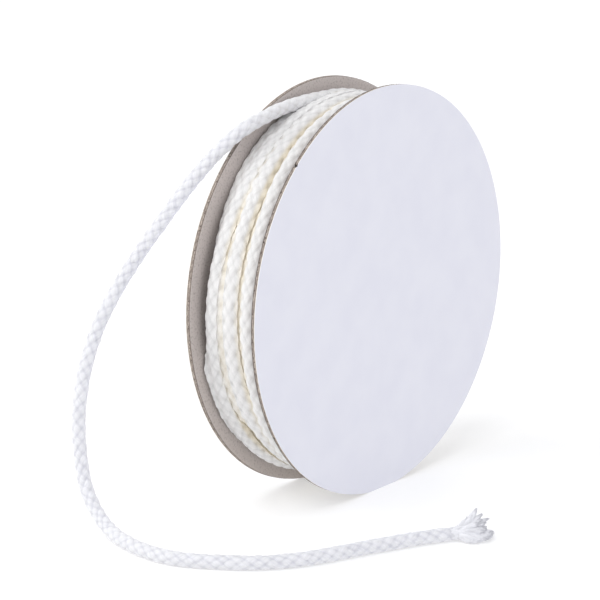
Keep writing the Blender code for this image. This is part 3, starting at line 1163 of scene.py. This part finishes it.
@dataclass
class Winding:
    """The cord wound between the discs: its outer turns and those that show under them.

    closest is how near a turn underneath comes to an outer one's line, and nests_over how far
    away from that line it is still pushed off into the gap. Two turns touch when their lines
    are within beside_within radii. Each is then cut off halfway, or mingle past it, and over
    the last bridge of its width it is spread and lifted to fill the notch between them.
    """

    plait: Plait
    finish: bpy.types.Material
    outer_step: float = 0.5
    outer_sides: int = 40
    under_step: float = 0.62
    under_samples: int = 581
    under_sides: int = 16
    under_out: float = 58.4 * MM
    turns: int = 5
    closest: float = 3.3 * MM
    nests_over: float = 2.6 * MM
    own_line: float = 0.2 * MM
    beside_within: float = 2.4
    steepest: float = 0.85
    smoothed_over: int = 41
    mingle: float = 0.08 * MM
    bridge: float = 1.2 * MM
    spread: float = 0.5 * MM
    jog: float = 30.0
    jog_at: float = 180.0
    valley_depth: float = 1.6 * MM
    valley_lean: float = 0.1
    joins_on: float = 1.0
    rises_over: float = 80.0
    disc_gap: float = 0.05 * MM

    def __post_init__(self) -> None:
        """Lays the outer turns' course as a smooth curve, and notes where it ends."""
        self.outer_end = OUTER_TURNS[-1].back
        self.course = smooth_curve(
            [row.back for row in OUTER_TURNS],
            [(row.across * MM, row.out * MM) for row in OUTER_TURNS],
        )

    def ups(self, line: np.ndarray) -> np.ndarray:
        """Directions straight out from the reel's axis."""
        outwards = line - np.array([0.0, 0.0, AXIS_HEIGHT])
        outwards[:, 0] = 0.0
        return unit(outwards)

    def under_course(self, back: np.ndarray) -> tuple[np.ndarray, np.ndarray]:
        """The course of the turns underneath, which go on from where the outer ones end.

        Each lies in its own place and jogs to the next at the bottom. It is pressed up into
        the gaps between the outer turns, and sinks under each of them.

        Args:
            back: Degrees wound back, from the outer turns' end.

        Returns:
            Places across and distances out.
        """
        across = np.full_like(back, (self.turns - 1) / 2)
        for turn in range(self.turns - 1):
            starts = self.outer_end + self.jog_at + 360 * turn - self.jog
            across = across - smooth_step(np.clip((back - starts) / (2 * self.jog), 0, 1))
        across = across * UNDER_PITCH
        outer = [self.course(back % 360 + 360 * above) for above in range(self.turns)]
        pushed = np.zeros_like(back)
        for rows in outer:
            apart = across - rows[:, 0]
            pushed += apart * np.exp(-((apart / self.nests_over) ** 2))
        across = across + pushed
        rise = np.clip((back - self.outer_end) / self.rises_over, 0, 1)
        from_out = OUTER_TURNS[-1].out * MM
        out = from_out + (self.under_out - from_out) * smooth_step(rise)
        for rows in outer:
            beside = np.abs(rows[:, 0] - across)
            drop = np.sqrt(np.maximum(self.closest**2 - beside**2, 0))
            out = np.where(beside < self.closest, np.minimum(out, rows[:, 1] - drop), out)
        kernel = np.hanning(self.smoothed_over)
        kernel = kernel / kernel.sum()
        across, out = (
            np.convolve(np.pad(row, len(kernel) // 2, mode="edge"), kernel, mode="valid")
            for row in (across, out)
        )
        return across, out

    def neighbours(self, back: np.ndarray) -> list[tuple[Layer, np.ndarray, np.ndarray]]:
        """Where every turn passes these angles: the outer ones, then those underneath.

        Args:
            back: Degrees wound back.

        Returns:
            The layer, places across and distances out, for each turn.
        """
        around = back % 360
        whole = np.linspace(0, 360, self.under_samples)
        found = []
        for number in range(self.turns):
            across, out = self.course(around + 360 * number).T
            found.append((Layer.OUTER, across, out))
        for number in range(self.turns):
            rows = self.under_course(whole + self.outer_end + 360 * number)
            across, out = (np.interp(around, whole, row) for row in rows)
            found.append((Layer.UNDER, across, out))
        return found

    def valley(self, verts: np.ndarray, back: np.ndarray) -> np.ndarray:
        """How deep points lie in the valleys between the turns.

        Args:
            verts: Rings of points.
            back: Degrees wound back at each ring.

        Returns:
            From 0 on a crest, or where a turn lies open to one side, to 1.
        """
        reach = np.hypot(verts[..., 1], verts[..., 2] - AXIS_HEIGHT)
        left = np.zeros_like(reach)
        right = np.zeros_like(reach)
        for _, across, out in self.neighbours(back):
            off = verts[..., 0] - across[:, None]
            crest = (out + self.plait.pulled.radius)[:, None] - self.valley_lean * np.abs(off)
            left = np.where(off >= 0, np.maximum(left, crest), left)
            right = np.where(off <= 0, np.maximum(right, crest), right)
        return np.clip((np.minimum(left, right) - reach) / self.valley_depth, 0, 1)

    def press(
        self, verts: np.ndarray, line: np.ndarray, back: np.ndarray, layer: Layer
    ) -> np.ndarray:
        """Flattens a turn where it meets a disc or the turns beside it.

        Args:
            verts: Its rings of points.
            line: Its centreline.
            back: Degrees wound back at each ring.
            layer: Its layer.

        Returns:
            The rings, cut off halfway to a neighbour in the same layer, give or take the depth
            that their filaments mingle to, and spread and lifted beside any neighbour, where
            soft yarn fills the notch between the two.
        """
        outwards = self.ups(line)
        radius = self.plait.pulled.radius
        for other, across, out in self.neighbours(back):
            towards = on_roll(back, across, out) - line
            apart = np.linalg.norm(towards, axis=1)
            beside = (apart > self.own_line) & (apart < self.beside_within * radius)
            towards = towards / np.maximum(apart, 1e-9)[:, None]
            plane = (apart / 2 + self.mingle)[:, None]
            reach = ((verts - line[:, None]) * towards[:, None]).sum(2)
            near = np.where(beside[:, None], np.clip(1 - (plane - reach) / self.bridge, 0, 1), 0)
            half = np.minimum(apart / 2, self.steepest * radius)
            slope = half / np.sqrt(radius**2 - half**2)
            lift = slope[:, None] * self.bridge * near * near / 2
            up = unit(outwards - towards * (outwards * towards).sum(1, keepdims=True))
            if other is layer:
                past = np.where(beside[:, None], np.maximum(reach - plane, 0), 0)
                verts = verts - towards[:, None] * past[:, :, None]
            nearer = np.minimum(np.clip(plane - reach, 0, None), self.spread * near)
            verts = verts + towards[:, None] * nearer[:, :, None]
            verts = verts + up[:, None] * lift[:, :, None]
        room = DISC_GAP / 2 - self.disc_gap
        verts[:, :, 0] = np.clip(verts[:, :, 0], -room, room)
        return verts

    def turn(self, name: str, back: np.ndarray, layer: Layer, starts_at: float) -> float:
        """Builds and dresses one turn of the cord.

        Args:
            name: The piece's name.
            back: Degrees wound back, rising.
            layer: Its layer.
            starts_at: The plait's place at the end nearest the loose end.

        Returns:
            The plait's place at the other end.
        """
        if layer is Layer.UNDER:
            across, out = self.under_course(back)
            sides = self.under_sides
        else:
            across, out = self.course(back).T
            sides = self.outer_sides
        line = on_roll(back, across, out)
        far = starts_at - distance_along(line)[-1]
        line = line[::-1]
        back = back[::-1]

        def hollow(verts: np.ndarray, _: np.ndarray) -> np.ndarray:
            """How deep each point lies between the turns, from 0 to 1."""
            return self.valley(verts, back)

        def press(verts: np.ndarray) -> np.ndarray:
            """The rings where their neighbours leave them room."""
            return self.press(verts, line, back, layer)

        run = PlaitedRun(name, line, self.ups(line), far, self.plait, sides, hollow, press=press)
        add_piece(name, run.mesh(), [self.finish], [Node.WOUND])
        return far

    def build(self) -> int:
        """Builds and dresses every turn.

        Returns:
            How many turns there are.
        """
        # The first turn runs a little way on into the loose cord, whose plait it carries on
        joins_on = radians(self.joins_on) * OUTER_TURNS[0].out * MM
        starts_at = joins_on + LOOSE_ROUTE[0][1] * MM
        for layer, step, begins in (
            (Layer.OUTER, self.outer_step, 0),
            (Layer.UNDER, self.under_step, self.outer_end),
        ):
            for number in range(self.turns):
                back = np.arange(0.0, 360.0 + step, step).clip(0, 360)
                back = np.unique(back) + begins + 360 * number
                if layer is Layer.OUTER and number == 0:
                    back = np.append(-self.joins_on, back)
                name = f"{layer.value}_turn_{number + 1}"
                starts_at = self.turn(name, back, layer, starts_at)
        return 2 * self.turns


@dataclass
class PackedCord:
    """The older layers of cord, packed tight under the turns that show."""

    finish: bpy.types.Material
    radius: float = 50.6 * MM
    turns: int = 6
    half_width: float = 11.6 * MM
    across_steps: int = 60
    around_steps: int = 360
    map_across: float = 0.4
    map_around: float = 1.0
    sharp_from: float = 60.0

    def build(self) -> bpy.types.Object:
        """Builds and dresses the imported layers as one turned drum, its turns raised.

        Returns:
            The piece.
        """
        across = np.linspace(-self.half_width, self.half_width, self.across_steps + 1)
        places = (np.arange(self.turns) - (self.turns - 1) / 2) * UNDER_PITCH
        nearest = np.abs(across[:, None] - places[None]).min(1)
        raised = np.sqrt(np.maximum(CORD_RADIUS**2 - nearest**2, 0))
        profile = self.radius + raised
        back = 360 * np.arange(self.around_steps) / self.around_steps
        rings = [on_roll(np.full_like(across, b), across, profile) for b in back]
        shape = bmesh.new()
        layer = shape.loops.layers.uv.new("yarn")
        verts = [[shape.verts.new(p) for p in ring] for ring in rings]
        for i, ring in enumerate(verts):
            after = verts[(i + 1) % len(verts)]
            for j in range(self.across_steps):
                face = shape.faces.new((ring[j], ring[j + 1], after[j + 1], after[j]))
                corners = ((j, i), (j + 1, i), (j + 1, i + 1), (j, i + 1))
                for loop, (u, v) in zip(face.loops, corners):
                    loop[layer].uv = (u * self.map_across, v * self.map_around)
        shape.faces.new([ring[0] for ring in verts])
        shape.faces.new([ring[-1] for ring in verts])
        mesh = take_mesh("packed_cord", shape, self.sharp_from)
        # The packed layers lie deep, so all of them take the painted hollow shade
        set_values(mesh, "hollow", np.ones(len(mesh.vertices)))
        set_values(mesh, "slack", np.zeros(len(mesh.vertices)))
        return add_piece("packed_cord", mesh, [self.finish], [Node.WOUND])


# The reel


class DiscSide(Enum):
    """A disc's sides, numbered as its materials are."""

    INNER = 0
    RIM = 1
    OUTER = 2


@dataclass
class ReelDisc:
    """One round board disc, white paper glued on its outer face.

    Its rim is die-cut: the board's edge is rough and the paper stands a hair proud of it.
    outwards is -1 for the left disc and 1 for the right.
    """

    name: str
    node: Node
    outwards: int
    face: bpy.types.Material
    edge: bpy.types.Material
    liner: bpy.types.Material
    seed: int
    nick_at: float | None = None
    around: int = 1200
    paper: float = 0.24 * MM
    rim_wave: float = 0.10 * MM
    rim_waves: int = 14
    edge_fray: float = 0.09 * MM
    nick_depth: float = 0.9 * MM
    nick_width: float = 0.5 * MM
    nick_slant: float = 0.7
    nick_shade: float = 1.6
    eased: float = 0.12 * MM
    sharp_from: float = 40.0

    def rim_radius(self, angle: np.ndarray) -> np.ndarray:
        """The rim's distance from the axis, flat at the foot, at angles from +Y."""
        foot = asin(FOOT_LENGTH / 2 / DISC_RADIUS)
        below = np.abs((angle + pi / 2 + pi) % tau - pi)
        flat = AXIS_HEIGHT / np.maximum(np.cos(below), 1e-6)
        wave = self.rim_wave * (drift(len(angle), self.rim_waves, self.seed) - 0.5)
        wave = wave * np.clip((below - foot) / foot, 0, 1)
        round_rim = DISC_RADIUS + np.minimum(wave, 0)
        return np.where(below < foot, np.minimum(flat, DISC_RADIUS), round_rim)

    def nick(self, angle: np.ndarray) -> np.ndarray:
        """How deep the rim's nick is at angles from +Y, from 0 to 1 at its middle."""
        if self.nick_at is None:
            return np.zeros_like(angle)
        off = np.abs((angle - self.nick_at + pi) % tau - pi) * DISC_RADIUS
        return np.clip(1 - off / self.nick_width, 0, 1)

    def profile(self) -> list[tuple[float, float, float]]:
        """The disc's section from the middle of its inner face to that of its outer one.

        Returns:
            Rows of depth outwards from the inner face, share of the radius and how far in
            from the rim.
        """
        inner = [(0.0, share, 0.0) for share in (0.0, 0.3, 0.6, 0.8, 0.9, 0.95, 0.98)]
        board = BOARD - self.paper
        start = self.eased * 0.4
        edge = [(0.0, 1.0, self.eased)]
        edge += [(start + (board - start) * i / 7, 1.0, 0.02 * MM) for i in range(8)]
        lip = [(board, 1.0, 0.0), (board + self.paper * 0.7, 1.0, 0.0), (BOARD, 1.0, 0.05 * MM)]
        outer = [(BOARD, share, 0.0) for share in (0.985, 0.95, 0.9, 0.8, 0.6, 0.3, 0.0)]
        return inner + edge + lip + outer

    def build(self) -> bpy.types.Object:
        """Builds and dresses the disc.

        Returns:
            The piece.
        """
        angle = -pi / 2 + tau * np.arange(self.around) / self.around
        rim = self.rim_radius(angle)
        rows = self.profile()
        random = np.random.default_rng(self.seed)
        fray = random.normal(0, 0.5, (len(rows), self.around))
        shape = bmesh.new()
        plies = shape.verts.layers.float.new("ply")
        rim_map = shape.loops.layers.uv.new("rim")
        rings = []
        edge_rows = [i for i, row in enumerate(rows) if row[1] == 1.0]
        for i, (depth, share, inset) in enumerate(rows):
            if share == 0.0:
                middle = (self.outwards * (DISC_GAP / 2 + depth), 0.0, AXIS_HEIGHT)
                rings.append([shape.verts.new(middle)])
                continue
            rough = 0.0
            if i in edge_rows[1:-3]:
                rough = self.edge_fray * np.clip(np.abs(fray[i]), 0, 1)
            shallow = 1 - self.nick_slant * depth / BOARD
            out = rim * share - inset - rough - self.nick_depth * shallow * self.nick(angle)
            x = self.outwards * (DISC_GAP / 2 + depth)
            points = zip(out * np.cos(angle), AXIS_HEIGHT + out * np.sin(angle))
            rings.append([shape.verts.new((x, y, z)) for y, z in points])
        torn = self.nick(angle)
        for ring, (depth, _, _) in zip(rings, rows):
            for vert, cut in zip(ring, torn):
                # In the nick ply drops below 0, where the edge lays its painted shade
                vert[plies] = depth / BOARD - self.nick_shade * cut
        arc = tau * DISC_RADIUS / self.around / MM
        for i, (ring, after) in enumerate(zip(rings, rings[1:])):
            finish = DiscSide.INNER
            if edge_rows[0] <= i < edge_rows[-2]:
                finish = DiscSide.RIM
            elif i >= edge_rows[-2]:
                finish = DiscSide.OUTER
            for j in range(self.around):
                k = (j + 1) % self.around
                if len(ring) == 1:
                    corners = (ring[0], after[k], after[j])
                elif len(after) == 1:
                    corners = (ring[j], ring[k], after[0])
                else:
                    corners = (ring[j], ring[k], after[k], after[j])
                made = shape.faces.new(corners)
                made.material_index = finish.value
                if finish is DiscSide.RIM:
                    low, high = rows[i][0] / MM, rows[i + 1][0] / MM
                    places = ((j, low), (j + 1, low), (j + 1, high), (j, high))
                    for loop, (u, v) in zip(made.loops, places):
                        loop[rim_map].uv = (u * arc, v)
        mesh = take_mesh(self.name, shape, self.sharp_from)
        finishes = [self.face, self.edge, self.liner]
        return add_piece(self.name, mesh, finishes, [self.node])


# The studio


@dataclass(frozen=True)
class SoftLight:
    """A soft square light: where it stands, its side in metres, its watts and its tint."""

    name: str
    place: tuple[float, float, float]
    side: float
    watts: float
    tint: str = "#FFFFFF"

    def add(self, aim: tuple[float, float, float]) -> None:
        """Hangs the light, facing the point that it aims at."""
        lamp = bpy.data.lights.new(self.name, "AREA")
        lamp.size = self.side
        lamp.energy = self.watts
        lamp.color = linear(self.tint)[:3]
        turned = (Vector(aim) - Vector(self.place)).to_track_quat("-Z", "Y").to_matrix()
        holder = place_object(self.name, lamp)
        holder.matrix_world = Matrix.Translation(self.place) @ turned.to_4x4()


@dataclass
class Studio:
    """The camera, a pale floor and soft light from all round."""

    camera_at: tuple[float, float, float] = (0.5176, -0.6902, 0.2837)
    azimuth: float = 37.93
    elevation: float = 14.57
    lens: float = 168.84
    floor_size: float = 12.0
    aim: tuple[float, float, float] = (0.0, -0.02, 0.06)
    lights: tuple[SoftLight, ...] = (
        SoftLight("key", (0.25, -2.5, 4.35), 4.2, 142.0),
        SoftLight("right", (4.7, -0.3, 1.9), 3.2, 72.0, "#F6F8FF"),
        SoftLight("left", (-3.2, -2.6, 1.9), 2.6, 78.0),
        SoftLight("back", (-2.4, 3.4, 2.6), 3.2, 66.0),
    )
    sky_hex: str = "#FAFBFF"
    sky: float = 0.36

    def add_camera(self) -> None:
        """Adds the camera at the photograph's place and angle."""
        camera = bpy.data.cameras.new("camera")
        camera.lens = self.lens
        camera.sensor_width = 36.0
        camera.clip_start = 0.01
        camera.clip_end = 50.0
        holder = place_object("camera", camera)
        a, e = radians(self.azimuth), radians(self.elevation)
        back = Vector((sin(a) * cos(e), -cos(a) * cos(e), sin(e)))
        holder.location = self.camera_at
        holder.rotation_mode = "QUATERNION"
        holder.rotation_quaternion = (-back).to_track_quat("-Z", "Y")
        bpy.context.scene.camera = holder

    def add_floor(self, finish: bpy.types.Material) -> None:
        """Adds the pale floor, dressed in its finish."""
        half = self.floor_size / 2
        mesh = bpy.data.meshes.new("floor")
        corners = [(-half, -half, 0), (half, -half, 0), (half, half, 0), (-half, half, 0)]
        mesh.from_pydata(corners, [], [(0, 1, 2, 3)])
        mesh.materials.append(finish)
        place_object("floor", mesh)

    def add_sky(self) -> None:
        """Adds the sky. Past the floor's edge, the camera sees the same white as the floor."""
        world = bpy.data.worlds.new("studio")
        world.use_nodes = True
        tree = world.node_tree
        sky = tree.nodes["Background"]
        sky.inputs["Color"].default_value = linear(self.sky_hex)
        sky.inputs["Strength"].default_value = self.sky
        backdrop = add_node(tree, "ShaderNodeBackground", {"Color": linear("#FFFFFF")})
        seen = add_node(tree, "ShaderNodeLightPath").outputs["Is Camera Ray"]
        both = add_node(
            tree,
            "ShaderNodeMixShader",
            {0: seen, 1: sky.outputs["Background"], 2: backdrop.outputs["Background"]},
        )
        tree.links.new(both.outputs["Shader"], tree.nodes["World Output"].inputs["Surface"])
        bpy.context.scene.world = world

    def build(self, floor: bpy.types.Material) -> None:
        """Sets up the floor in its finish, the lights and the sky."""
        self.add_floor(floor)
        for light in self.lights:
            light.add(self.aim)
        self.add_sky()
        bpy.context.scene.view_settings.view_transform = "Standard"


def corners(box: tuple[Vector, Vector]) -> list[list[float]]:
    """A box's two corners as plain lists."""
    return [list(corner) for corner in box]


def main() -> None:
    """Builds the camera, the cords, the winding, the reel and the studio, in that order."""
    logging.basicConfig(level=logging.INFO, format="%(name)s: %(message)s")
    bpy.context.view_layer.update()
    studio = Studio()
    studio.add_camera()
    plait = Plait()
    # Each pair is a crown tint and the painted shade in the hollows: cream between the wound
    # turns, grey between the slack lobes
    wound, slack = ("#ECEBEA", "#EFE7D6"), ("#E8E8EB", "#D8D8DE")
    loose_yarn = TexturedPolyester("polyester_plait_loose", wound, slack, subsurface=0.6)
    cord, line = LooseEnd(plait, loose_yarn.material(), LOOSE_ROUTE).build()
    log.info("loose cord: %d vertices", len(cord.data.vertices))
    # The teased locks' second tint is a grey painted shade at their ends
    teased = ("#ECECF0", "#DCDCE1")
    lock_yarn = TexturedPolyester("polyester_teased", teased, teased, subsurface=0.0)
    tip = FrayedTip(lock_yarn.material(), line[-1], unit(line[-1] - line[-4])).build()
    log.info("frayed tip: %d faces", len(tip.data.polygons))
    wound_yarn = TexturedPolyester("polyester_plait_wound", wound, slack, subsurface=0.0)
    wound_finish = wound_yarn.material()
    turns = Winding(plait, wound_finish).build()
    log.info("winding: %d turns", turns)
    packed = PackedCord(wound_finish).build()
    log.info("packed cord: %d faces", len(packed.data.polygons))
    face = GreyBoard().material()
    liner = BleachedLiner().material()
    left_edge = DieCutEdge(
        "grey_board_die_cut_left",
        pulp_hex="#857A72",
        pale_hex="#C0B5AA",
        fleck_hex="#5A4F48",
        crushed_and_shade_hex="#756A63",
        paper_hex="#E9DFD2",
    )
    # The right disc's crushed corner is tinted darker than the left's, as more painted shade
    # beside the cord
    right_edge = DieCutEdge(
        "grey_board_die_cut_right",
        pulp_hex="#80756E",
        pale_hex="#BDB2A7",
        fleck_hex="#40362F",
        crushed_and_shade_hex="#4E443E",
        paper_hex="#F3ECE1",
    )
    for name, node, outwards, seed, nick, edge in (
        ("reel_disc_left", Node.LEFT, -1, 3, None, left_edge.material()),
        ("reel_disc_right", Node.RIGHT, 1, 4, radians(133.2), right_edge.material()),
    ):
        disc = ReelDisc(name, node, outwards, face, edge, liner, seed, nick).build()
        log.info("%s: %d faces", name, len(disc.data.polygons))
    studio.build(PaleFloor().material())


if __name__ == "__main__":
    main()
